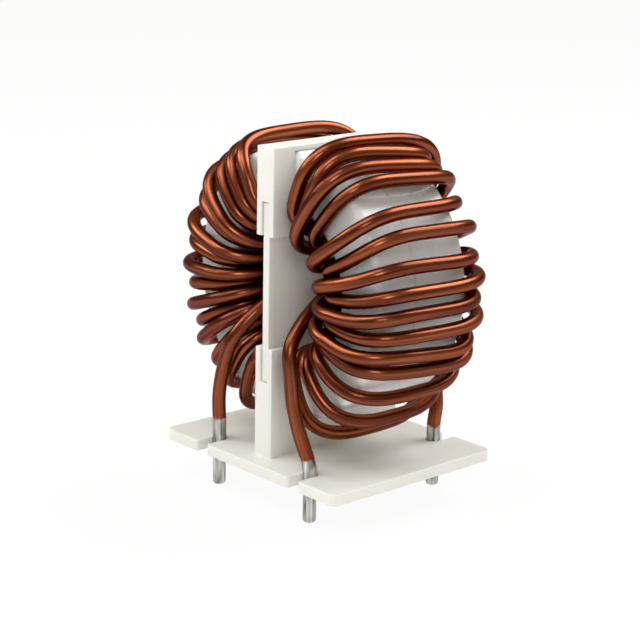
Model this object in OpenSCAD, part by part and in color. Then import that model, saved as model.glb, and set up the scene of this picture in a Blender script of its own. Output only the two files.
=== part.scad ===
// Two-winding ring choke that stands upright on a slotted base.
// The ring's axis lies along Y, the windings lie to the left and right, and -Y is the front.
// The origin is the middle of the four solder tails, on the underside of the base.

/* [Ring case] */
// Outer diameter of the ring's case
ring_d = 32.8; // [31.5:0.1:35]
// Diameter of the hole through the ring
hole_d = 19; // [18.9:0.1:20.5]
// Width of the ring along its axis
ring_w = 14.3; // [13:0.1:15.5]
// Thickness of the case's wall
case_wall = 1; // [0.8:0.05:1.2]
// Rounding of the case's edges
case_edge_r = 0.8; // [0.5:0.05:0.95]
// How far the front cover reaches back from the front face
cover_depth = 5.7; // [4.5:0.1:7]
// Width of the tub's raised collar behind the cover
collar_w = 3.65; // [2:0.05:5]
// How far the tub is set in behind its collar
collar_step = 0.15; // [0.05:0.05:0.3]
// Thickness of the tub's spigot inside the cover
spigot_t = 0.6; // [0.4:0.05:0.8]
// Length of the tub's spigot
spigot_l = 2; // [1:0.1:3]
// Play between pieces that fit together
fit_gap = 0.1; // [0.05:0.01:0.15]
// Rounding of the core's edges
core_edge_r = 0.5; // [0.2:0.05:0.8]

/* [Base] */
// Length of the base across the windings
base_x = 31.5; // [28:0.5:36]
// Depth of the base along the ring's axis
base_y = 26; // [24:0.5:30]
// Thickness of the base
base_t = 1.4; // [1.2:0.1:2]
// Rounding of the base's corners
base_corner_r = 1; // [0.5:0.1:2]
// Gap between a wire and each side of its slot
slot_gap = 0.05; // [0.03:0.01:0.15]
// Height of the ring above the base
ring_lift = 4.3; // [3.8:0.1:5]

/* [Solder tails] */
// Distance between the tails across the windings
pin_pitch_x = 17; // [16.5:0.1:17.5]
// Distance between the tails along the ring's axis
pin_pitch_y = 20.5; // [20:0.1:21]
// Diameter of a tail
tail_d = 1.6; // [1.4:0.05:1.65]
// Length of a tail below the base
tail_l = 4.5; // [3:0.1:6]
// Chamfer at a tail's tip
tail_chamfer = 0.4; // [0.2:0.05:0.6]

/* [Separator] */
// Thickness of the post and the cap
separator_t = 3; // [2.6:0.1:3.1]
// Thickness of their legs in front of the ring and behind it
leg_t = 3.15; // [2.5:0.05:3.5]
// Thickness of the cap above the ring
bridge_t = 0.65; // [0.5:0.05:1]
// How far the post's legs stand up past the hole's lowest point
post_reach = 2.3; // [1.5:0.1:3]
// How far the cap's legs hang down past the hole's highest point
cap_reach = 3.1; // [2:0.1:4]
// Depth of the groove in the post's legs
post_groove_l = 4.3; // [3.2:0.1:5]
// Depth of the groove in the cap's legs
cap_groove_l = 4.1; // [3.5:0.1:5]
// Gap between the partition and each side of the grooves
groove_gap = 0.15; // [0.05:0.05:0.2]
// Thickness of the centre partition
partition_t = 1.1; // [0.9:0.05:1.2]
// How far the partition's edges stand back from the legs' outer faces
partition_inset = 0.25; // [0.1:0.05:0.5]
// Gap between the ring and the legs on each side
cradle_gap = 0.15; // [0.1:0.05:0.25]
// Gap between the ring and the bridges under and over it
seat_gap = 0.05; // [0.02:0.01:0.1]

/* [Windings] */
// Diameter of the enamelled wire
wire_d = 1.7; // [1.5:0.05:1.7]
// Gap between the case's outer wall and the middle of a turn's outer bow
outer_gap = 1.65; // [1.3:0.05:2]
// Gap between the turns and the case's flat faces
face_gap = 0.9; // [0.7:0.05:1]
// Gap between the turns and the hole's wall
hole_gap = 0.4; // [0.3:0.05:0.4]
// Gap between the turns' bends and bows and the case's edges
corner_gap = 0.2; // [0.15:0.01:0.25]
// Gap between two layers of wire in the hole
layer_gap = 0.05; // [0.03:0.01:0.1]
// Straight stretch of a lead above the base
lead_rise = 0.4; // [0.2:0.05:0.6]

/* [Hidden] */
$fn = 64;

// The ring's place
ring_r = ring_d / 2;
hole_r = hole_d / 2;
ring_z = base_t + ring_lift + ring_r;
seam_f = ring_w / 2 - cover_depth;
spigot_inset = case_wall + fit_gap + spigot_t;

// The tails' places
pin_x = pin_pitch_x / 2;
pin_y = pin_pitch_y / 2;

// The separator's heights and widths
post_top = ring_z - hole_r + post_reach;
cap_bottom = ring_z + hole_r - cap_reach;
cap_top = ring_z + ring_r + bridge_t;
notch_w = ring_w + 2 * cradle_gap;
separator_w = notch_w + 2 * leg_t;
partition_w = separator_w - 2 * partition_inset;
flange_w = (partition_w - notch_w) / 2;
groove_w = partition_t + 2 * groove_gap;
groove_low = post_top - post_groove_l;
groove_high = cap_bottom + cap_groove_l;
slot_w = wire_d + 2 * slot_gap;

// Bounds and halvings of the search for the bow's squareness (2 is an ellipse)
least_power = 2;
most_power = 12;
power_tries = 16;

// A turn's reach, by the wire's middle line: a bend out of the hole, then a bow round the outside
turn_r_out = ring_r + outer_gap + wire_d / 2;
turn_r_in = hole_r - hole_gap - wire_d / 2;
turn_y = ring_w / 2 + face_gap + wire_d / 2;
bend_in = bend_r(hole_gap, face_gap);
turn_r_face = turn_r_in + bend_in;
edge_reach = (case_edge_r + wire_d / 2 + corner_gap) * sin(45) - case_edge_r;
bow_power = clear_power(
    (ring_r + edge_reach - turn_r_face) / (turn_r_out - turn_r_face),
    (ring_w / 2 + edge_reach) / turn_y,
    least_power,
    most_power,
    power_tries
);
layer_pitch = wire_d + layer_gap;
lead_y = turn_y + wire_d;
lead_h = ring_z - base_t;

// How finely the wire is drawn
wire_sides = 8;
arc_steps = 3;
bow_steps = 6;
half_points = arc_steps + bow_steps + 2;
lead_steps = 3;

// Angle of each turn in the middle of its bow, from the lowest turn to the highest, and how far it leans:
// by so much its back lies higher than its middle, and its front lower
right_outer_angles = [-65, -51.5, -35.5, -24, -17.5, -9, -1, 6.5, 15.5, 27, 35.5, 48, 54.5, 61.5, 69];
right_leans = [4, 0, 0, -2.5, -3, -1, -1, -1, -1.5, -1, -0.5, -2, -3, -4.5, -2];
left_outer_angles = [-65, -54, -44, -33, -25.5, -18.5, -9.5, -0.5, 9.5, 19.5, 30.5, 42.5, 48.5, 54.5, 62.5];
left_leans = [2, 0, 0, 0, 0, 0, 0, 0, 0, 0, 0, 0, 0, 0, 2.5];

// Angle and layer of the wire at each of its runs through the hole, the last one being the end lead's
right_hole_angles = [-71, -58, -45.5, -33, -24.5, -16, -7, 2, 11, 20, 30, 47, 55, 60.5, 73, 64];
right_layers = [0, 0, 0, 0, 1, 0, 1, 0, 1, 0, 1, 0, 1.25, 0, 0, 2.4];
left_hole_angles = [-71, -58, -45.5, -36, -27, -18, -9, 0, 9, 18, 28, 38, 47, 60, 73, 64];
left_layers = [0, 0, 0, 1, 0, 1, 0, 1, 0, 1, 0, 1, 0, 0, 0, 2.4];

// Points of the leads: across as a share of the hole's radius, along the ring's axis as a share of the
// plane in which a wire passes over the turns, and up as a share of the height from base to ring middle
back_lead_shares = [
    [0.895, 0.965, 0.103],
    [0.875, 1.015, 0.231],
    [0.745, 1.065, 0.38],
    [0.545, 1.065, 0.53],
    [0.375, 0.92, 0.679],
    [0.295, 0.58, 0.731],
    [0.27, 0.195, 0.648],
    [0.283, -0.195, 0.624]
];
right_lead_shares = [
    [0.36, 0, 1.064],
    [0.43, -0.5, 0.927],
    [0.49, -0.83, 0.816],
    [0.565, -1.035, 0.702],
    [0.625, -1.065, 0.564],
    [0.665, -1.055, 0.403],
    [0.755, -1.025, 0.234],
    [0.85, -0.975, 0.091]
];
left_lead_shares = [
    [0.34, 0, 1.053],
    [0.375, -0.5, 0.904],
    [0.43, -0.85, 0.787],
    [0.535, -1.055, 0.647],
    [0.69, -1.065, 0.465],
    [0.825, -1.025, 0.284],
    [0.885, -0.975, 0.114]
];

// Colours of the materials
case_colour = "#eef0f2";
moulding_colour = "#f0ece2";
enamel_colour = "#a5532f";
ferrite_colour = "#3a3a3c";

// Direction of a vector
function unit(v) = v / norm(v);

// Radius of a bend between two runs with different gaps, which leaves the corner gap at the edge
function bend_r(gap_a, gap_b) =
    let (
        a = gap_a - corner_gap,
        b = gap_b - corner_gap
    )
    case_edge_r + wire_d / 2 + corner_gap + a + b + sqrt(2 * a * b);

// Least squareness at which a bow passes outside the point at shares u and v of its reach
function clear_power(u, v, low, high, tries) =
    let (middle = (low + high) / 2)
    tries == 0 ? high
    : pow(u, middle) + pow(v, middle) > 1 ? clear_power(u, v, middle, high, tries - 1)
    : clear_power(u, v, low, middle, tries - 1);

// How much a point of a half turn belongs to the hole: 1 in the hole, 0 on the outside
function hole_share(j) = (1 + cos(180 * j / (half_points - 1))) / 2;

// Point of a half turn as [radius, y], from the hole over the bend and the bow to the outside
function half_point(j, lift) =
    let (
        in_angle = 90 * (j - 1) / arc_steps,
        in_r = bend_in + lift,
        bow_angle = 90 * (j - arc_steps - 1) / bow_steps,
        bow_r = turn_r_out - turn_r_face + lift
    )
    j == 0 ? [turn_r_in - lift, 0]
    : j < arc_steps + 2 ? [turn_r_face - in_r * cos(in_angle), turn_y - bend_in + in_r * sin(in_angle)]
    : [
        turn_r_face + bow_r * pow(sin(bow_angle), 2 / bow_power),
        (turn_y + lift) * pow(cos(bow_angle), 2 / bow_power)
    ];

// Half a turn on the front (side -1) or the back (side 1), as points in space
function half_turn(side, hole_angle, layer, outer_angle, lean) = [
    for (j = [0:half_points - 1])
        let (
            s = hole_share(j),
            p = half_point(j, layer * layer_pitch * s),
            bow_angle = outer_angle + side * lean * p[1] / turn_y,
            angle = hole_angle * s + bow_angle * (1 - s)
        )
        [p[0] * cos(angle), side * p[1], ring_z + p[0] * sin(angle)]
];

// One turn: out of the hole over the front, round the outside and over the back into the hole
function turn(k, last, outer, leans, hole, layers) =
    let (
        front = half_turn(-1, hole[k], layers[k], outer[k], leans[k]),
        back = half_turn(1, hole[k + 1], layers[k + 1], outer[k], leans[k])
    )
    concat(
        [for (j = [1:half_points - 1]) front[j]],
        [for (j = [half_points - 2:-1:k == last ? 1 : 0]) back[j]]
    );

// Point of a smooth curve through p, at share t of the way from point i to the next one
function curve_point(p, i, t) =
    let (
        a = p[max(i - 1, 0)],
        b = p[i],
        c = p[i + 1],
        d = p[min(i + 2, len(p) - 1)]
    )
    b + t / 2 * (c - a + t * (2 * a - 5 * b + 4 * c - d + t * (3 * b - a - 3 * c + d)));

// Points of that curve over the stretches from the first to the last one named
function curve(p, first, last) = [
    for (i = [first:last], k = [0:lead_steps - 1]) curve_point(p, i, k / lead_steps)
];

// Points of a lead in space
function lead_points(shares) = [
    for (s = shares) [s[0] * hole_r, s[1] * lead_y, base_t + s[2] * lead_h]
];

// Middle line of a whole winding, from its back tail to its front tail
function winding_path(outer, leans, hole, layers, front_shares) =
    let (
        last = len(outer) - 1,
        turns = [for (k = [0:last], p = turn(k, last, outer, leans, hole, layers)) p],
        n = len(turns),
        back_tail = [[pin_x, pin_y, 0], [pin_x, pin_y, base_t + lead_rise]],
        front_tail = [[pin_x, -pin_y, base_t + lead_rise], [pin_x, -pin_y, 0]],
        start = concat(back_tail, lead_points(back_lead_shares), [turns[0], turns[1]]),
        end = concat([turns[n - 2], turns[n - 1]], lead_points(front_shares), front_tail)
    )
    concat(
        curve(start, 0, len(start) - 3),
        [for (i = [0:n - 2]) turns[i]],
        curve(end, 1, len(end) - 2),
        [front_tail[1]]
    );

// The sideways direction n, turned as little as possible to stand square to direction d
function carried(n, d) = unit(n - (n * d) * d);

// Solid wire along a path
module wire(path) {
    last = len(path) - 1;
    dirs = [for (i = [0:last]) unit(path[min(i + 1, last)] - path[max(i - 1, 0)])];
    sides = [for (i = 0, n = [1, 0, 0]; i <= last; n = carried(n, dirs[min(i + 1, last)]), i = i + 1) n];
    points = [
        for (i = [0:last], k = [0:wire_sides - 1])
            let (a = 360 * k / wire_sides)
            path[i] + wire_d / 2 * (cos(a) * sides[i] + sin(a) * cross(dirs[i], sides[i]))
    ];
    walls = [
        for (i = [0:last - 1], k = [0:wire_sides - 1])
            let (
                a = i * wire_sides,
                m = (k + 1) % wire_sides
            )
            [a + k, a + k + wire_sides, a + m + wire_sides, a + m]
    ];
    start_face = [for (k = [0:wire_sides - 1]) k];
    end_face = [for (k = [wire_sides - 1:-1:0]) last * wire_sides + k];
    polyhedron(points, concat(walls, [start_face, end_face]));
}

// Tinned tail at one end of a wire, below the base, with a chamfered tip
module tail(y) {
    translate([pin_x, y, -tail_l]) {
        cylinder(h = tail_chamfer, r1 = tail_d / 2 - tail_chamfer, r2 = tail_d / 2);
        translate([0, 0, tail_chamfer])
            cylinder(h = tail_l - tail_chamfer, d = tail_d);
    }
}

module winding(outer, leans, hole, layers, front_shares) {
    wire(winding_path(outer, leans, hole, layers, front_shares));
    tail(pin_y);
    tail(-pin_y);
}

// Section of a ring with rounded edges: radius along x, distance towards the front along y
module ring_section(r_in, r_out, half_w, edge_r) {
    translate([r_in + edge_r, -half_w])
        square([r_out - r_in - 2 * edge_r, 2 * half_w]);
    translate([r_in, edge_r - half_w])
        square([r_out - r_in, 2 * (half_w - edge_r)]);
    for (r = [r_in + edge_r, r_out - edge_r], f = [edge_r - half_w, half_w - edge_r])
        translate([r, f])
            circle(r = edge_r);
}

// Outer form of the case, cut to the stretch from f_low to f_high
module case_section(f_low, f_high) {
    intersection() {
        ring_section(hole_r, ring_r, ring_w / 2, case_edge_r);
        translate([0, f_low])
            square([ring_d, f_high - f_low]);
    }
}

// Room for the core inside the case
module case_room() {
    translate([hole_r + case_wall, case_wall - ring_w / 2])
        square([ring_r - hole_r - 2 * case_wall, ring_w - 2 * case_wall]);
}

// Turns a section round the ring's axis
module around_ring() {
    translate([0, 0, ring_z])
        rotate([90, 0, 0])
            rotate_extrude()
                children();
}

module ring_core() {
    color(ferrite_colour)
        around_ring()
            ring_section(
                hole_r + spigot_inset + fit_gap,
                ring_r - spigot_inset - fit_gap,
                ring_w / 2 - case_wall - fit_gap,
                core_edge_r
            );
}

module case_cover() {
    color(case_colour)
        around_ring()
            difference() {
                case_section(seam_f, ring_w / 2);
                case_room();
            }
}

module case_tub() {
    color(case_colour)
        around_ring() {
            difference() {
                case_section(-ring_w / 2, seam_f);
                case_room();
                translate([ring_r - collar_step, -ring_w / 2])
                    square([collar_step, ring_w / 2 + seam_f - collar_w]);
            }
            // The spigot's outer and inner lips, each with the root that joins it to the wall
            translate([ring_r - spigot_inset, seam_f - spigot_l])
                square([spigot_t, 2 * spigot_l]);
            translate([ring_r - spigot_inset, seam_f - spigot_l])
                square([spigot_t + fit_gap, spigot_l]);
            translate([hole_r + case_wall + fit_gap, seam_f - spigot_l])
                square([spigot_t, 2 * spigot_l]);
            translate([hole_r + case_wall, seam_f - spigot_l])
                square([spigot_t + fit_gap, spigot_l]);
        }
}

module right_winding() {
    color(enamel_colour)
        winding(right_outer_angles, right_leans, right_hole_angles, right_layers, right_lead_shares);
}

module left_winding() {
    color(enamel_colour)
        mirror([1, 0, 0])
            winding(left_outer_angles, left_leans, left_hole_angles, left_layers, left_lead_shares);
}

// Outline of the base plate with its rounded corners
module base_outline() {
    corner_x = base_x / 2 - base_corner_r;
    corner_y = base_y / 2 - base_corner_r;
    square([base_x, 2 * corner_y], center = true);
    square([2 * corner_x, base_y], center = true);
    for (x = [-corner_x, corner_x], y = [-corner_y, corner_y])
        translate([x, y])
            circle(r = base_corner_r);
}

// One open slot, with a round end at its tail
module wire_slot() {
    circle(d = slot_w);
    translate([-slot_w / 2, 0])
        square([slot_w, base_y / 2]);
}

module base_plate() {
    linear_extrude(height = base_t)
        difference() {
            base_outline();
            for (x = [-pin_x, pin_x]) {
                translate([x, pin_y])
                    wire_slot();
                translate([x, -pin_y])
                    mirror([0, 1])
                        wire_slot();
            }
        }
}

// Block of the separator's width, from one height to another
module separator_block(t, w, z_low, z_high) {
    translate([-t / 2, -w / 2, z_low])
        cube([t, w, z_high - z_low]);
}

module post() {
    difference() {
        separator_block(separator_t, separator_w, 0, post_top);
        separator_block(2 * separator_t, notch_w, base_t + ring_lift - seat_gap, ring_z);
        separator_block(groove_w, 2 * separator_w, groove_low, ring_z);
    }
}

module base() {
    color(moulding_colour) {
        base_plate();
        post();
    }
}

// The plate slides into the hole from the front, and its front flange fills the grooves
module centre_partition() {
    color(moulding_colour) {
        separator_block(partition_t, partition_w, ring_z - hole_r + fit_gap, ring_z + hole_r - 2 * fit_gap);
        translate([-partition_t / 2, -partition_w / 2, groove_low + fit_gap])
            cube([partition_t, flange_w, groove_high - groove_low - 2 * fit_gap]);
    }
}

module top_cap() {
    color(moulding_colour)
        difference() {
            separator_block(separator_t, separator_w, cap_bottom, cap_top);
            separator_block(2 * separator_t, notch_w, ring_z, ring_z + ring_r + seat_gap);
            separator_block(groove_w, 2 * separator_w, ring_z, groove_high);
        }
}

ring_core();
case_tub();
case_cover();
right_winding();
left_winding();
base();
centre_partition();
top_cap();
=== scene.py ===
# %% [markdown]
# # A ring choke on its base
#
# The object is a choke for a power supply: two windings of thick enamelled copper wire on one ring,
# which stands upright on a small moulded base with four solder tails.
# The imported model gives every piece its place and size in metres.
# This lesson builds the pieces that show again with softer edges, gives them their finishes,
# and sets up the camera and the light of the photograph.

# %% Load the frame
from math import cos, pi, radians, sin

import bmesh
import bpy
from mathutils import Matrix, Vector


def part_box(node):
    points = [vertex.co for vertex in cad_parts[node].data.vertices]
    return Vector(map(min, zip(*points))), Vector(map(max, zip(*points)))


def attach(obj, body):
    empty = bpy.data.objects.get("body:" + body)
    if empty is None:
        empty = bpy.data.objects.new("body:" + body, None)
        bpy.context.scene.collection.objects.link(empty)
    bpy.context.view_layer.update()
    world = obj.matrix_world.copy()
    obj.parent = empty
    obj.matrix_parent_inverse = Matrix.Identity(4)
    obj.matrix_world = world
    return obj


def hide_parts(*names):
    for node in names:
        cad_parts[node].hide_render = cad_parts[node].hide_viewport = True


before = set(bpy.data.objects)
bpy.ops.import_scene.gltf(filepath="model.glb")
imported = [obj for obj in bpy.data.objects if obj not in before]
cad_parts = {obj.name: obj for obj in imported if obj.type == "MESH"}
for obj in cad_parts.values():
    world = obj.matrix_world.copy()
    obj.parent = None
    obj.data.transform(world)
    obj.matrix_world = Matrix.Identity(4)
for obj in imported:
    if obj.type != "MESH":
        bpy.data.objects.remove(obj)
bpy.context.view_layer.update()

print("nodes:", sorted(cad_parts))

# %% [markdown]
# ## Measures
#
# Most sizes are read from the boxes of the nodes, so that they can't drift from the construction.
# A box doesn't tell what lies inside it, such as a wall or a slot, and those few sizes are named here
# and with the pieces that they belong to.

# %% Measures from the frame
MM = 0.001
cover_low, cover_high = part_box("case_cover")
_, tub_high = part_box("case_tub")
base_low, base_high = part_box("base")
cap_low, cap_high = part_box("top_cap")
partition_low, partition_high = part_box("centre_partition")
wire_low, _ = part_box("right_winding")

ring_r = (cover_high.x - cover_low.x) / 2
ring_z = (cover_high.z + cover_low.z) / 2
hole_r = 9.5 * MM
base_t = 1.4 * MM
tail_tip_z = wire_low.z
pin_x, pin_y = 8.5 * MM, 10.25 * MM
print(f"ring radius {ring_r / MM:.2f} mm at height {ring_z / MM:.2f} mm")

# %% [markdown]
# ## Camera
#
# The photograph was taken with a long lens from the front right, a little above the ring's foot.
# The camera is turned by hand into three directions: right, up and back towards the lens.
# A slight roll and a small lens shift put the object where it stands in the picture.

# %% Camera
IMAGE_PX = 640
SENSOR_MM = 36
NEAREST = 10 * MM
focal_px = 1831
azimuth, elevation, roll = radians(47.7), radians(14.3), radians(1.16)
camera_distance = 223.2 * MM
aim = Vector((0, 0, 20 * MM))
principal_px = (9.6, -26.6)

back = Vector((sin(azimuth) * cos(elevation), -cos(azimuth) * cos(elevation), sin(elevation)))
level_right = Vector((cos(azimuth), sin(azimuth), 0))
right = cos(roll) * level_right + sin(roll) * back.cross(level_right)
up = back.cross(right)

camera = bpy.data.objects.new("camera", bpy.data.cameras.new("camera"))
turn = Matrix((right, up, back)).transposed().to_4x4()
camera.matrix_world = Matrix.Translation(aim + back * camera_distance) @ turn
camera.data.sensor_width = SENSOR_MM
camera.data.lens = focal_px / IMAGE_PX * SENSOR_MM
camera.data.shift_x = -principal_px[0] / IMAGE_PX
camera.data.shift_y = principal_px[1] / IMAGE_PX
camera.data.clip_start = NEAREST
bpy.context.scene.collection.objects.link(camera)
bpy.context.scene.camera = camera
print(f"lens {camera.data.lens:.1f} mm at {camera_distance / MM:.0f} mm")

# %% [markdown]
# ## Floor
#
# The picture has a bare white ground. A floor that is only lit never comes out quite white, so this one is
# a white sheet with a light of its own for the camera, for reflections and for clear pieces.
# The part of it that is plain paper still takes the object's shadow.

# %% Helpers for materials and meshes
def new_material(name):
    """A material with an empty node tree, and that tree."""
    material = bpy.data.materials.new(name)
    material.use_nodes = True
    material.node_tree.nodes.clear()
    return material, material.node_tree


def add_node(tree, kind, **settings):
    """A shader node with some of its settings changed."""
    node = tree.nodes.new(kind)
    for name, value in settings.items():
        setattr(node, name, value)
    return node


def object_from(bm, name):
    """An object made of a finished bmesh, which is freed."""
    mesh = bpy.data.meshes.new(name)
    bm.to_mesh(mesh)
    bm.free()
    mesh.shade_smooth()
    piece = bpy.data.objects.new(name, mesh)
    bpy.context.scene.collection.objects.link(piece)
    return piece


# %% Floor
# Half the floor's side, in metres
FLOOR_HALF = 3.0
FLOOR_GLOW = 0.93
PAPER = (0.9, 0.9, 0.9, 1)


def seen_rays(tree):
    """1 for rays that show the ground: from the camera, in a gloss or through a clear piece."""
    path = add_node(tree, "ShaderNodeLightPath")
    total = path.outputs["Is Camera Ray"]
    for name in ("Is Glossy Ray", "Is Transmission Ray"):
        both = add_node(tree, "ShaderNodeMath", operation="MAXIMUM")
        tree.links.new(total, both.inputs[0])
        tree.links.new(path.outputs[name], both.inputs[1])
        total = both.outputs[0]
    return total


def white_ground():
    """White paper that is lifted to white where it is looked at."""
    material, tree = new_material("white_ground")
    paper = add_node(tree, "ShaderNodeBsdfDiffuse")
    paper.inputs["Color"].default_value = PAPER
    glow = add_node(tree, "ShaderNodeEmission")
    lifted = add_node(tree, "ShaderNodeMixShader")
    share = add_node(tree, "ShaderNodeMath", operation="MULTIPLY")
    share.inputs[1].default_value = FLOOR_GLOW
    out = add_node(tree, "ShaderNodeOutputMaterial")
    tree.links.new(seen_rays(tree), share.inputs[0])
    tree.links.new(share.outputs[0], lifted.inputs[0])
    tree.links.new(paper.outputs[0], lifted.inputs[1])
    tree.links.new(glow.outputs[0], lifted.inputs[2])
    tree.links.new(lifted.outputs[0], out.inputs["Surface"])
    return material


bm = bmesh.new()
bmesh.ops.create_grid(bm, x_segments=1, y_segments=1, size=FLOOR_HALF)
bmesh.ops.translate(bm, verts=bm.verts, vec=(0, 0, tail_tip_z))
floor = object_from(bm, "floor")
floor.data.materials.append(white_ground())
print(f"floor at {tail_tip_z / MM:.2f} mm, under the tails")

# %% [markdown]
# ## Light
#
# The light is plain and soft, from square lamps that are wide enough not to burn a white spot into the wire.
# The key lamp at the upper left in front lights the mouldings, the top lamp the base, and a small fill lamp
# to the right of the camera the sides that face it. The other two are placed for the wire: each turn catches
# the lamp behind the ring, or the small one far left, as a bright line along its upper side.
# The room around them is dim and a little warm, which gives the shiny wire its dark middle.

# %% Room
ROOM_STRENGTH = 0.38
ROOM_COLOUR = (1, 0.89, 0.71, 1)
world = bpy.data.worlds.new("studio")
bpy.context.scene.world = world
world.use_nodes = True
room = world.node_tree.nodes["Background"]
room.inputs["Color"].default_value = ROOM_COLOUR
room.inputs["Strength"].default_value = ROOM_STRENGTH
print(f"room at {ROOM_STRENGTH}")

# %% Lamps
LAMP_WHITE = (0.93, 0.97, 1)


def soft_lamp(name, place_mm, size_mm, watts):
    """Adds a square soft lamp that faces the ring, with its place and size in millimetres."""
    data = bpy.data.lights.new(name, "AREA")
    data.size = size_mm * MM
    data.energy = watts
    data.color = LAMP_WHITE
    lamp = bpy.data.objects.new(name, data)
    lamp.location = Vector(place_mm) * MM
    facing = Vector((0, 0, ring_z)) - lamp.location
    lamp.rotation_euler = facing.to_track_quat("-Z", "Y").to_euler()
    bpy.context.scene.collection.objects.link(lamp)


soft_lamp("key_lamp", (-150, -290, 330), 280, 0.46)
soft_lamp("left_lamp", (-310, -200, 270), 160, 0.42)
soft_lamp("back_lamp", (80, 310, 380), 300, 1.65)
soft_lamp("top_lamp", (-40, -150, 460), 250, 0.68)
soft_lamp("fill_lamp", (300, -220, 260), 140, 0.38)
bpy.context.scene.view_settings.view_transform = "Standard"

# %% [markdown]
# ## Finishes
#
# Four finishes cover the object. The mouldings are warm ivory nylon with a satin gloss, the ring's case is
# a cooler, glossier white, the wire is copper under a clear brown enamel with bright tin at its ends,
# and the hidden core is matt ferrite. Each reads the object's own coordinates, or the wire's UV map,
# so a pattern stays in place on its piece from every side.
# White plastic lets some light sink in, which softens its shadows, so both plastics have some subsurface.

# %% Helpers for the finishes
def noise(tree, coords, lump, detail=2.0):
    """Noise whose lumps are about as wide as lump, in metres."""
    node = add_node(tree, "ShaderNodeTexNoise")
    node.inputs["Scale"].default_value = 1 / lump
    node.inputs["Detail"].default_value = detail
    tree.links.new(coords, node.inputs["Vector"])
    return node.outputs["Fac"]


def spread(tree, source, source_range, result_range):
    """Maps one range of values to another, and holds the ends."""
    node = add_node(tree, "ShaderNodeMapRange")
    tree.links.new(source, node.inputs["Value"])
    for name, value in zip(("From Min", "From Max", "To Min", "To Max"), (*source_range, *result_range)):
        node.inputs[name].default_value = value
    return node.outputs["Result"]


def blend_colours(tree, factor, first, second):
    """A colour between two, where each is a colour value or another node's output."""
    node = add_node(tree, "ShaderNodeMix", data_type="RGBA")
    tree.links.new(factor, node.inputs["Factor"])
    for socket, colour in zip((node.inputs[6], node.inputs[7]), (first, second)):
        if isinstance(colour, tuple):
            socket.default_value = (*colour, 1)
        else:
            tree.links.new(colour, socket)
    return node.outputs[2]


def bumps(tree, height, depth, strength):
    """A normal from a height between 0 and 1, where 1 stands depth metres high."""
    node = add_node(tree, "ShaderNodeBump")
    node.inputs["Distance"].default_value = depth
    node.inputs["Strength"].default_value = strength
    tree.links.new(height, node.inputs["Height"])
    return node.outputs["Normal"]


def principled(name, sockets):
    """A material with one principled shader, whose even values are set on its own sockets."""
    material, tree = new_material(name)
    shader = add_node(tree, "ShaderNodeBsdfPrincipled")
    for socket, value in sockets.items():
        shader.inputs[socket].default_value = value
    out = add_node(tree, "ShaderNodeOutputMaterial")
    tree.links.new(shader.outputs[0], out.inputs["Surface"])
    coords = add_node(tree, "ShaderNodeTexCoord").outputs["Object"]
    return material, tree, shader, coords


# Most of what the noise gives lies in this span
NOISE_SPAN = (0.3, 0.7)

# %% Moulded plastics
COAT_ROUGHNESS = 0.12
SUNK_SHARE = 0.35
SUNK_REACH = (1, 0.9, 0.75)
CLOUD_LUMP, SATIN_LUMP, GRAIN_LUMP = 9 * MM, 3 * MM, 0.35 * MM
GRAIN_DEPTH, GRAIN_STRENGTH = 0.02 * MM, 0.25


def moulded(name, light, dark, roughness, coat, depth):
    """Plastic with a cloudy tone, uneven gloss and the mould's grain. Light sinks in by depth, in metres."""
    material, tree, shader, coords = principled(name, {
        "Coat Weight": coat,
        "Coat Roughness": COAT_ROUGHNESS,
        "Subsurface Weight": SUNK_SHARE,
        "Subsurface Radius": SUNK_REACH,
        "Subsurface Scale": depth,
    })
    cloud = spread(tree, noise(tree, coords, CLOUD_LUMP), NOISE_SPAN, (0, 1))
    tree.links.new(blend_colours(tree, cloud, light, dark), shader.inputs["Base Color"])
    gloss = spread(tree, noise(tree, coords, SATIN_LUMP, detail=4), NOISE_SPAN, roughness)
    tree.links.new(gloss, shader.inputs["Roughness"])
    grain = noise(tree, coords, GRAIN_LUMP, detail=3)
    tree.links.new(bumps(tree, grain, GRAIN_DEPTH, GRAIN_STRENGTH), shader.inputs["Normal"])
    return material


ivory = moulded(
    "ivory_moulding", light=(0.85, 0.84, 0.80), dark=(0.83, 0.816, 0.77),
    roughness=(0.36, 0.46), coat=0.15, depth=2 * MM,
)
case_white = moulded(
    "case_white", light=(0.91, 0.93, 0.94), dark=(0.89, 0.91, 0.92),
    roughness=(0.26, 0.34), coat=0.3, depth=1 * MM,
)
print("plastics:", ivory.name, case_white.name)

# %% [markdown]
# The enamel is a clear varnish on drawn copper: the metal gives the colour, and the varnish a coat of gloss
# over it. Drawing leaves faint lines along the wire, and the dark lines are partly painted reflection that
# gives the leads contrast.
# A bevelled curve has a UV map that runs along it, so a noise that is stretched on that map gives such lines,
# however the wire bends.
# The ends of the wire were dipped in tin up to a little above the base, with an uneven edge. The share of tin
# is worked out from the height and from the distance to the middle, because only the leads are dipped.

# %% Tin on the ends
TIN_TOP = 3.2 * MM
TIN_EDGE = 0.15 * MM
TIN_WAVER = 0.3 * MM
# The left winding was dipped deeper
TIN_LEFT_RISE = 0.9 * MM
LEAD_INNER_Y = 9 * MM
WAVER_LUMP = 0.8 * MM


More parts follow.
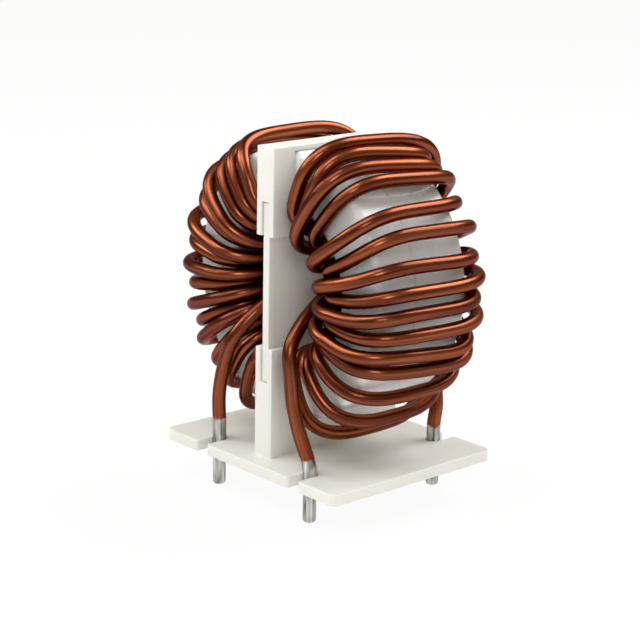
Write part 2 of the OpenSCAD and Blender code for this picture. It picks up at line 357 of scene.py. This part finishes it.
def tin_share(tree, coords):
    """1 on the dipped ends of the wire, 0 on the enamel."""
    split = add_node(tree, "ShaderNodeSeparateXYZ")
    tree.links.new(coords, split.inputs[0])
    waver = spread(tree, noise(tree, coords, WAVER_LUMP, detail=3), NOISE_SPAN, (-TIN_WAVER, TIN_WAVER))
    left = spread(tree, split.outputs["X"], (-TIN_EDGE, TIN_EDGE), (-TIN_LEFT_RISE, 0))
    height = split.outputs["Z"]
    for offset in (waver, left):
        total = add_node(tree, "ShaderNodeMath", operation="ADD")
        tree.links.new(height, total.inputs[0])
        tree.links.new(offset, total.inputs[1])
        height = total.outputs[0]
    low = spread(tree, height, (TIN_TOP - TIN_EDGE, TIN_TOP + TIN_EDGE), (1, 0))
    off_axis = add_node(tree, "ShaderNodeMath", operation="ABSOLUTE")
    tree.links.new(split.outputs["Y"], off_axis.inputs[0])
    outside = spread(tree, off_axis.outputs[0], (LEAD_INNER_Y, LEAD_INNER_Y + TIN_EDGE), (0, 1))
    share = add_node(tree, "ShaderNodeMath", operation="MULTIPLY")
    tree.links.new(low, share.inputs[0])
    tree.links.new(outside, share.inputs[1])
    return share.outputs[0]


print("tin up to", round(TIN_TOP / MM, 2), "mm")

# %% Enamelled wire
# The dark tin colour is a painted dark reflection; the bright one is the tin's own colour.
TIN_DARK_PAINTED_REFLECTION, TIN_BRIGHT = (0.12, 0.115, 0.10), (0.80, 0.79, 0.76)
TIN_LUMP, TIN_STRETCH = 0.5 * MM, (1, 1, 0.12)
COPPER_BRIGHT, COPPER_BROWN = (0.32, 0.079, 0.027), (0.28, 0.067, 0.0225)
# The dark line colour is partly drawing marks and partly painted dark reflection along the leads.
LINE_DARK_PAINTED_REFLECTION = (0.12, 0.0225, 0.0075)
# On the UV map: how often the drawn lines and painted reflection streaks break along the wire, and how many
# lie around it
LINE_AND_STREAK_COUNTS = (40, 9, 1)
LINE_SPAN = (0.42, 0.6)
RIM_TINT = (0.4, 0.25, 0.2, 1)
VARNISH = 0.3
WIRE_ROUGHNESS = (0.27, 0.33)
TONE_LUMP, GLOSS_LUMP, WAVE_LUMP = 6 * MM, 2.5 * MM, 2 * MM
WAVE_DEPTH, WAVE_STRENGTH = 0.03 * MM, 0.07


def stretched(tree, coords, scale):
    """Coordinates scaled along each axis."""
    node = add_node(tree, "ShaderNodeMapping")
    node.inputs["Scale"].default_value = scale
    tree.links.new(coords, node.inputs["Vector"])
    return node.outputs["Vector"]


def enamelled_copper():
    """Copper under clear brown enamel with drawn lines that are partly painted dark reflection, and tin on
    the dipped ends with streaks of painted dark reflection.
    """
    material, tree, shader, coords = principled("enamelled_copper", {
        "Metallic": 1.0,
        "Specular Tint": RIM_TINT,
        "Coat Weight": VARNISH,
        "Coat Roughness": COAT_ROUGHNESS,
    })
    # Stretched noise gives uneven runs of dipped tin, and its dark streaks are painted reflection that gives
    # the tails a mirror-like contrast.
    tin_runs_and_painted_reflection = noise(tree, stretched(tree, coords, TIN_STRETCH), TIN_LUMP)
    tin_with_painted_reflection = blend_colours(tree, spread(tree, tin_runs_and_painted_reflection, NOISE_SPAN, (0, 1)), TIN_DARK_PAINTED_REFLECTION, TIN_BRIGHT)
    wire_uv = add_node(tree, "ShaderNodeTexCoord").outputs["UV"]
    # Dark lines along the wire: partly drawing marks, partly painted dark reflection.
    drawn_lines_and_painted_reflection = spread(tree, noise(tree, stretched(tree, wire_uv, LINE_AND_STREAK_COUNTS), 1), LINE_SPAN, (0, 1))
    tone = spread(tree, noise(tree, coords, TONE_LUMP, detail=3), NOISE_SPAN, (0, 1))
    copper = blend_colours(tree, tone, COPPER_BRIGHT, COPPER_BROWN)
    copper_with_painted_streaks = blend_colours(tree, drawn_lines_and_painted_reflection, copper, LINE_DARK_PAINTED_REFLECTION)
    colour = blend_colours(tree, tin_share(tree, coords), copper_with_painted_streaks, tin_with_painted_reflection)
    tree.links.new(colour, shader.inputs["Base Color"])
    gloss = spread(tree, noise(tree, coords, GLOSS_LUMP, detail=3), NOISE_SPAN, WIRE_ROUGHNESS)
    tree.links.new(gloss, shader.inputs["Roughness"])
    waves = noise(tree, coords, WAVE_LUMP, detail=2)
    tree.links.new(bumps(tree, waves, WAVE_DEPTH, WAVE_STRENGTH), shader.inputs["Normal"])
    return material


enamel = enamelled_copper()
print("wire finish:", enamel.name)

# %% [markdown]
# The core is a ring of sintered ferrite inside the case. It can't be seen, so the construction's own mesh
# stays and only gets its finish: nearly black, matt and finely grained.

# %% Ferrite
FERRITE_LIGHT, FERRITE_DARK = (0.05, 0.05, 0.055), (0.035, 0.035, 0.04)
FERRITE_ROUGHNESS = (0.6, 0.75)
SPECK_LUMP = 0.5 * MM
SPECK_DEPTH, SPECK_STRENGTH = 0.03 * MM, 0.3


def sintered_ferrite():
    """Matt dark grey ferrite with a fine sintered grain."""
    material, tree, shader, coords = principled("sintered_ferrite", {})
    speck = spread(tree, noise(tree, coords, SPECK_LUMP, detail=4), NOISE_SPAN, (0, 1))
    colour = blend_colours(tree, speck, FERRITE_LIGHT, FERRITE_DARK)
    tree.links.new(colour, shader.inputs["Base Color"])
    tree.links.new(spread(tree, speck, (0, 1), FERRITE_ROUGHNESS), shader.inputs["Roughness"])
    tree.links.new(bumps(tree, speck, SPECK_DEPTH, SPECK_STRENGTH), shader.inputs["Normal"])
    return material


ferrite = sintered_ferrite()
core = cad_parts["ring_core"]
core.data.materials.clear()
core.data.materials.append(ferrite)
print("ferrite on", core.name)

# %% [markdown]
# ## Ring case
#
# The core sits in a moulded case of two rings: a tub with a spigot, and a cover that is pushed over it.
# Each is a section spun round the ring's axis. The section is drawn as one flat face, because its corners
# can then be rounded by a bevel on their vertices, each kind of corner with its own radius.
# Only the face's rim is spun.

# %% Helpers for the case
SHARP = radians(40)
CORNER_SEGMENTS = 6
SPIN_STEPS = 128


def rounded_face(bm, corners, place):
    """A flat face through corners (u, v, radius), set in space by place(u, v), with its corners rounded."""
    verts = [bm.verts.new(place(u, v)) for u, v, _ in corners]
    bm.faces.new(verts)
    bm.normal_update()
    for radius in sorted({r for _, _, r in corners if r > 0}):
        group = [v for v, corner in zip(verts, corners) if corner[2] == radius]
        bmesh.ops.bevel(
            bm, geom=group, offset=radius, segments=CORNER_SEGMENTS, profile=0.5,
            affect="VERTICES", material=-1, clamp_overlap=False,
        )
    return bm.faces[:]


def spun_ring(name, corners):
    """A ring whose section has corners (radius, y, rounding)."""
    bm = bmesh.new()
    section = rounded_face(bm, corners, lambda r, y: (r, y, ring_z))
    bmesh.ops.delete(bm, geom=section, context="FACES_ONLY")
    bmesh.ops.spin(
        bm, geom=bm.verts[:] + bm.edges[:], cent=(0, 0, ring_z), axis=(0, 1, 0),
        angle=2 * pi, steps=SPIN_STEPS, use_merge=True,
    )
    bmesh.ops.recalc_face_normals(bm, faces=bm.faces)
    return object_from(bm, name)


def finished(piece, node, material):
    """Gives a new piece its material and its place in the object, and keeps its flat faces flat."""
    piece.data.materials.append(material)
    piece.data.set_sharp_from_angle(angle=SHARP)
    even = piece.modifiers.new("even_faces", "WEIGHTED_NORMAL")
    even.keep_sharp = True
    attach(piece, "root")
    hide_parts(node)
    print(piece.name, "stands for", node, "with", len(piece.data.polygons), "faces")


# %% Cover
front_y, seam_y, back_y = cover_low.y, cover_high.y, tub_high.y
case_wall = 1.0 * MM
case_edge_r = 0.8 * MM
seam_edge = 0.12 * MM
room_in, room_out = hole_r + case_wall, ring_r - case_wall

cover = spun_ring("cover_ring", [
    (hole_r, seam_y, seam_edge),
    (hole_r, front_y, case_edge_r),
    (ring_r, front_y, case_edge_r),
    (ring_r, seam_y, seam_edge),
    (room_out, seam_y, 0),
    (room_out, front_y + case_wall, 0),
    (room_in, front_y + case_wall, 0),
    (room_in, seam_y, 0),
])
finished(cover, "case_cover", case_white)

# %% Tub
collar_w = 3.65 * MM
collar_step = 0.15 * MM
collar_edge = 0.08 * MM
spigot_l = 2.0 * MM
spigot_t = 0.6 * MM
fit_gap = 0.1 * MM
tub_r = ring_r - collar_step
lip_y, root_y = seam_y - spigot_l, seam_y + spigot_l
lip_out, lip_in = room_out - fit_gap, room_in + fit_gap

tub = spun_ring("tub_ring", [
    (hole_r, seam_y, seam_edge),
    (lip_in, seam_y, 0),
    (lip_in, lip_y, 0),
    (lip_in + spigot_t, lip_y, 0),
    (lip_in + spigot_t, root_y, 0),
    (room_in, root_y, 0),
    (room_in, back_y - case_wall, 0),
    (room_out, back_y - case_wall, 0),
    (room_out, root_y, 0),
    (lip_out - spigot_t, root_y, 0),
    (lip_out - spigot_t, lip_y, 0),
    (lip_out, lip_y, 0),
    (lip_out, seam_y, 0),
    (ring_r, seam_y, seam_edge),
    (ring_r, seam_y + collar_w, collar_edge),
    (tub_r, seam_y + collar_w, 0),
    (tub_r, back_y, case_edge_r),
    (hole_r, back_y, case_edge_r),
])
finished(tub, "case_tub", case_white)

# %% [markdown]
# ## Base, cap and partition
#
# The base is one moulding: a plate with four open wire slots, and a post that cradles the ring.
# Its outline is one face with rounded corners, which is extruded to the plate. Cuts across the plate mark
# out the post, whose cells are then extruded in three steps: up to the ring, up to the groove's floor
# and up to the top. The cap is made the same way from its top face downwards.
# At last the cuts that lie in a flat face are dissolved and the sharp edges are rounded.
# Boxes joined by boolean operators would give the same form, but extruding one outline keeps each moulding
# one closed body with clean edges to round.

# %% Helpers for the mouldings
TINY = 0.001 * MM
LEVEL = 0.5
FLAT = radians(1)
EDGE_SEGMENTS = 3
separator_t = 3.0 * MM
groove_w = 1.4 * MM
notch_w = 14.32 * MM
separator_w = cap_high.y - cap_low.y


def cut_cells(bm, width_x, width_y):
    """Cuts all faces along the sides of a strip across x and of one across y, both about the middle."""
    for normal, width in (((1, 0, 0), width_x), ((0, 1, 0), width_y)):
        for side in (-width / 2, width / 2):
            bmesh.ops.bisect_plane(
                bm, geom=bm.verts[:] + bm.edges[:] + bm.faces[:],
                plane_co=Vector(normal) * side, plane_no=normal,
            )


def extrude_by(bm, faces, step):
    """Extrudes faces and moves the new ones by a step."""
    made = bmesh.ops.extrude_face_region(bm, geom=faces)["geom"]
    moved = [v for v in made if isinstance(v, bmesh.types.BMVert)]
    bmesh.ops.translate(bm, verts=moved, vec=step)


def extrude_cells(bm, z_from, z_to, wanted):
    """Extrudes the level faces at one height to another, where their middle is wanted.

    On a closed body the old cells would stay behind as walls inside it, so there they are deleted.
    """
    cells = []
    for face in bm.faces:
        middle = face.calc_center_median()
        if abs(middle.z - z_from) < TINY and abs(face.normal.z) > LEVEL and wanted(middle):
            cells.append(face)
    is_body = not any(edge.is_boundary for face in cells for edge in face.edges)
    extrude_by(bm, cells, (0, 0, z_to - z_from))
    if is_body:
        bmesh.ops.delete(bm, geom=[face for face in cells if face.is_valid], context="FACES")
    bm.normal_update()


def on_legs(middle):
    """Whether a cell lies on the leg in front of the ring or the one behind it."""
    return abs(middle.y) > notch_w / 2


def beside_groove(middle):
    """Whether a cell lies on a leg, to the side of the partition's groove."""
    return on_legs(middle) and abs(middle.x) > groove_w / 2


def soften(bm, edge_r):
    """Clears the cuts out of flat faces and rounds every sharp edge."""
    bmesh.ops.remove_doubles(bm, verts=bm.verts, dist=TINY)
    bmesh.ops.recalc_face_normals(bm, faces=bm.faces)
    bmesh.ops.dissolve_limit(bm, angle_limit=FLAT, verts=bm.verts, edges=bm.edges)
    sharp = [e for e in bm.edges if e.is_manifold and e.calc_face_angle() > SHARP]
    bmesh.ops.bevel(
        bm, geom=sharp, offset=edge_r, segments=EDGE_SEGMENTS, profile=0.5,
        affect="EDGES", material=-1, clamp_overlap=False,
    )


# %% Base
slot_w = 1.8 * MM
slot_end_y = pin_y - slot_w / 2
slot_end_share = 0.49
slot_end_r = slot_end_share * slot_w
mouth_r = 0.35 * MM
plate_corner_r = 1.0 * MM
moulding_edge_r = 0.1 * MM
seat_z = 5.65 * MM
post_groove_z = 10.6 * MM


def front_outline():
    """Corners of the plate's front edge with its two slots, from left to right."""
    edge_y = base_low.y
    corners = [(base_low.x, edge_y, plate_corner_r)]
    for x in (-pin_x, pin_x):
        corners += [
            (x - slot_w / 2, edge_y, mouth_r),
            (x - slot_w / 2, -slot_end_y, slot_end_r),
            (x + slot_w / 2, -slot_end_y, slot_end_r),
            (x + slot_w / 2, edge_y, mouth_r),
        ]
    return corners + [(base_high.x, edge_y, plate_corner_r)]


bm = bmesh.new()
front = front_outline()
rounded_face(bm, front + [(-x, -y, r) for x, y, r in front], lambda x, y: (x, y, 0))
extrude_cells(bm, 0, base_t, lambda middle: True)
cut_cells(bm, separator_t, separator_w)
cut_cells(bm, groove_w, notch_w)
extrude_cells(bm, base_t, seat_z, lambda m: abs(m.x) < separator_t / 2 and abs(m.y) < separator_w / 2)
extrude_cells(bm, seat_z, post_groove_z, on_legs)
extrude_cells(bm, post_groove_z, base_high.z, beside_groove)
soften(bm, moulding_edge_r)
base = object_from(bm, "base_moulding")
finished(base, "base", ivory)

# %% Cap
cap_seat_z = 38.505 * MM
cap_groove_z = 32.6 * MM
UNIT_HALF = 0.5

bm = bmesh.new()
bmesh.ops.create_grid(bm, x_segments=1, y_segments=1, size=UNIT_HALF)
bmesh.ops.scale(bm, verts=bm.verts, vec=(separator_t, separator_w, 1))
bmesh.ops.translate(bm, verts=bm.verts, vec=(0, 0, cap_high.z))
cut_cells(bm, groove_w, notch_w)
extrude_cells(bm, cap_high.z, cap_seat_z, lambda middle: True)
extrude_cells(bm, cap_seat_z, cap_groove_z, on_legs)
extrude_cells(bm, cap_groove_z, cap_low.z, beside_groove)
soften(bm, moulding_edge_r)
cap = object_from(bm, "cap_moulding")
finished(cap, "top_cap", ivory)

# %% [markdown]
# The partition is a plate across the hole. It slides in from the front, where a flange that is taller than
# the hole fills the grooves. Its side view is one face, which is extruded to the plate's thickness.

# %% Partition
partition_edge_r = 0.12 * MM
flange_y = -7.3 * MM
plate_low_z, plate_high_z = 12.7 * MM, 31.4 * MM
outline = [
    (partition_low.y, partition_low.z),
    (flange_y, partition_low.z),
    (flange_y, plate_low_z),
    (partition_high.y, plate_low_z),
    (partition_high.y, plate_high_z),
    (flange_y, plate_high_z),
    (flange_y, partition_high.z),
    (partition_low.y, partition_high.z),
]

bm = bmesh.new()
side_face = rounded_face(bm, [(y, z, 0) for y, z in outline], lambda y, z: (partition_low.x, y, z))
extrude_by(bm, side_face, (partition_high.x - partition_low.x, 0, 0))
soften(bm, partition_edge_r)
partition = object_from(bm, "partition_plate")
finished(partition, "centre_partition", ivory)

# %% [markdown]
# ## Windings
#
# Each winding is one length of wire: up from its back tail, over the turns that go round below into the hole,
# fifteen times round the ring, and from the hole down over the front turns to its front tail.
# A curve with a round bevel is the natural way to make a wire. Its middle line follows the construction's:
# each turn bends tightly out of the hole and then bows round the outside, as thick wire does that is pulled
# by hand, and the leads are listed points. A higher power makes the bow squarer; 2 is an ellipse.

# %% Middle line of a turn
wire_d = 1.7 * MM
outer_gap, face_gap, hole_gap, corner_gap = 1.6 * MM, 0.9 * MM, 0.4 * MM, 0.2 * MM
layer_gap = 0.05 * MM
layer_pitch = wire_d + layer_gap
turn_r_out = ring_r + outer_gap + wire_d / 2
turn_r_in = hole_r - hole_gap - wire_d / 2
turn_y = back_y + face_gap + wire_d / 2
hole_slack, face_slack = hole_gap - corner_gap, face_gap - corner_gap
bend_in = case_edge_r + wire_d / 2 + corner_gap
bend_in += hole_slack + face_slack + (2 * hole_slack * face_slack) ** 0.5
turn_r_face = turn_r_in + bend_in
bow_power = 3.12
RUN_PARTS, BEND_PARTS, BOW_PARTS = 1, 3, 6
HALF_TURN = RUN_PARTS + BEND_PARTS + BOW_PARTS
STEPS_PER_PART = 6


def turn_section(q, lift):
    """Radius and distance from the ring's middle plane, q parts along a half turn."""
    if q <= RUN_PARTS:
        return turn_r_in - lift, q / RUN_PARTS * (turn_y - bend_in)
    if q <= RUN_PARTS + BEND_PARTS:
        angle = pi / 2 * (q - RUN_PARTS) / BEND_PARTS
        r = bend_in + lift
        return turn_r_face - r * cos(angle), turn_y - bend_in + r * sin(angle)
    angle = pi / 2 * (q - RUN_PARTS - BEND_PARTS) / BOW_PARTS
    across, along = sin(angle) ** (2 / bow_power), cos(angle) ** (2 / bow_power)
    return turn_r_face + (turn_r_out - turn_r_face + lift) * across, (turn_y + lift) * along


def half_turn(side, hole_angle, layer, outer_angle, lean, skipped):
    """Middle line of half a turn in front (side -1) or behind (side 1), from the hole to the outside.

    Its first parts can be skipped, where a lead goes on in place of the run through the hole.
    """
    points = []
    for step in range(skipped * STEPS_PER_PART, HALF_TURN * STEPS_PER_PART + 1):
        q = step / STEPS_PER_PART
        share = (1 + cos(pi * q / HALF_TURN)) / 2
        r, y = turn_section(q, layer * layer_pitch * share)
        bow_angle = outer_angle + side * lean * y / turn_y
        angle = radians(hole_angle * share + bow_angle * (1 - share))
        points.append(Vector((r * cos(angle), side * y, ring_z + r * sin(angle))))
    return points


def all_turns(outer_angles, leans, hole_angles, layers):
    """Middle line of a winding's turns, from the lowest to the highest."""
    last = len(outer_angles) - 1
    points = []
    for k, (outer, lean) in enumerate(zip(outer_angles, leans)):
        skipped = RUN_PARTS if k == 0 else 0
        points += half_turn(-1, hole_angles[k], layers[k], outer, lean, skipped)[:-1]
        skipped = RUN_PARTS if k == last else 0
        points += half_turn(1, hole_angles[k + 1], layers[k + 1], outer, lean, skipped)[::-1]
        if k < last:
            points.pop()
    return points


print(f"bend of {bend_in / MM:.2f} mm, bow out to {turn_r_out / MM:.2f} mm")

# %% [markdown]
# A lead's points are written as shares: across of the hole's radius, along the axis of the plane in which
# a wire passes over the turns, and up of the height from the base to the ring's middle.
# A smooth curve goes through them. Below the base the wire is a plain tail with a rounded tip.

# %% Middle line of the leads
lead_y = turn_y + wire_d
lead_h = ring_z - base_t
lead_rise = 0.4 * MM
tail_r = 0.8 * MM
tail_tip_r = 0.4 * MM
LEAD_STEPS = 8
TIP_STEPS = 6

back_lead = [
    (0.895, 0.965, 0.103),
    (0.875, 1.015, 0.231),
    (0.745, 1.065, 0.38),
    (0.545, 1.065, 0.53),
    (0.375, 0.92, 0.679),
    (0.295, 0.58, 0.731),
    (0.27, 0.195, 0.648),
    (0.283, -0.195, 0.624),
]
right_lead = [
    (0.36, 0, 1.064),
    (0.43, -0.5, 0.927),
    (0.49, -0.83, 0.816),
    (0.565, -1.035, 0.702),
    (0.625, -1.065, 0.564),
    (0.665, -1.055, 0.403),
    (0.755, -1.025, 0.234),
    (0.85, -0.975, 0.091),
]
left_lead = [
    (0.34, 0, 1.053),
    (0.375, -0.5, 0.904),
    (0.43, -0.85, 0.787),
    (0.535, -1.055, 0.647),
    (0.69, -1.065, 0.465),
    (0.825, -1.025, 0.284),
    (0.885, -0.975, 0.114),
]


def lead_points(shares):
    """A lead's points in space."""
    return [Vector((a * hole_r, b * lead_y, base_t + c * lead_h)) for a, b, c in shares]


def smooth_through(points, first, last):
    """A smooth curve through points, over the stretches from the first to the last one named."""
    line = []
    for i in range(first, last + 1):
        a, b, c = points[max(i - 1, 0)], points[i], points[i + 1]
        d = points[min(i + 2, len(points) - 1)]
        for step in range(LEAD_STEPS):
            t = step / LEAD_STEPS
            bend = 2 * a - 5 * b + 4 * c - d + t * (3 * b - a - 3 * c + d)
            line.append(b + t / 2 * (c - a + t * bend))
    return line


def tail_line(side):
    """A tail from its tip to the base's underside, as places and wire radii.

    The tip ends a hair above the construction's, so that no rounding of numbers takes it out of the box.
    """
    line = []
    for step in range(TIP_STEPS + 1):
        angle = pi / 2 * (1 - step / TIP_STEPS)
        z = tail_tip_z + TINY + tail_tip_r * (1 - sin(angle))
        line.append((Vector((pin_x, side * pin_y, z)), tail_r - tail_tip_r * (1 - cos(angle))))
    line.append((Vector((pin_x, side * pin_y, -lead_rise / 2)), tail_r))
    return line


print("lead points:", len(back_lead), len(right_lead), len(left_lead))

# %% Wire of a winding
WIRE_ROUNDNESS = 6


def wire_line(outer_angles, leans, hole_angles, layers, front_lead):
    """A whole winding from its back tail's tip to its front tail's tip, as places and wire radii."""
    turns = all_turns(outer_angles, leans, hole_angles, layers)
    above, below = base_t + lead_rise, 0
    back_tail = [Vector((pin_x, pin_y, below)), Vector((pin_x, pin_y, above))]
    front_tail = [Vector((pin_x, -pin_y, above)), Vector((pin_x, -pin_y, below))]
    start = back_tail + lead_points(back_lead) + [turns[0], turns[STEPS_PER_PART]]
    end = [turns[-1 - STEPS_PER_PART], turns[-1]] + lead_points(front_lead) + front_tail
    middle = smooth_through(start, 0, len(start) - 3) + turns[:-1]
    middle += smooth_through(end, 1, len(end) - 2) + [front_tail[1]]
    return tail_line(1) + [(place, wire_d / 2) for place in middle] + tail_line(-1)[::-1]


def wire_piece(name, line, side):
    """A round wire along a line, as a mesh. Side -1 mirrors it to the left."""
    data = bpy.data.curves.new(name, "CURVE")
    data.dimensions = "3D"
    data.bevel_depth = wire_d / 2
    data.bevel_resolution = WIRE_ROUNDNESS
    data.use_fill_caps = True
    spline = data.splines.new("POLY")
    spline.points.add(len(line) - 1)
    for point, (place, r) in zip(spline.points, line):
        point.co = (side * place.x, place.y, place.z, 1)
        point.radius = r / data.bevel_depth
    curve = bpy.data.objects.new(name, data)
    bm = bmesh.new()
    bm.from_mesh(bpy.data.meshes.new_from_object(curve))
    bpy.data.objects.remove(curve)
    bmesh.ops.remove_doubles(bm, verts=bm.verts, dist=TINY)
    bmesh.ops.recalc_face_normals(bm, faces=bm.faces)
    return object_from(bm, name + "_wire")


# %% Right winding
right_line = wire_line(
    outer_angles=[-65, -51.5, -35.5, -24, -17.5, -9, -1, 6.5, 15.5, 27, 35.5, 48, 54.5, 61.5, 69],
    leans=[4, 0, 0, -2.5, -3, -1, -1, -1, -1.5, -1, -0.5, -2, -3, -4.5, -2],
    hole_angles=[-71, -58, -45.5, -33, -24.5, -16, -7, 2, 11, 20, 30, 47, 55, 60.5, 73, 64],
    layers=[0, 0, 0, 0, 1, 0, 1, 0, 1, 0, 1, 0, 1.25, 0, 0, 2.4],
    front_lead=right_lead,
)
right_wire = wire_piece("right", right_line, 1)
finished(right_wire, "right_winding", enamel)

# %% Left winding
left_line = wire_line(
    outer_angles=[-65, -54, -44, -33, -25.5, -18.5, -9.5, -0.5, 9.5, 19.5, 30.5, 42.5, 48.5, 54.5, 62.5],
    leans=[2, 0, 0, 0, 0, 0, 0, 0, 0, 0, 0, 0, 0, 0, 2.5],
    hole_angles=[-71, -58, -45.5, -36, -27, -18, -9, 0, 9, 18, 28, 38, 47, 60, 73, 64],
    layers=[0, 0, 0, 1, 0, 1, 0, 1, 0, 1, 0, 1, 0, 0, 0, 2.4],
    front_lead=left_lead,
)
left_wire = wire_piece("left", left_line, -1)
finished(left_wire, "left_winding", enamel)
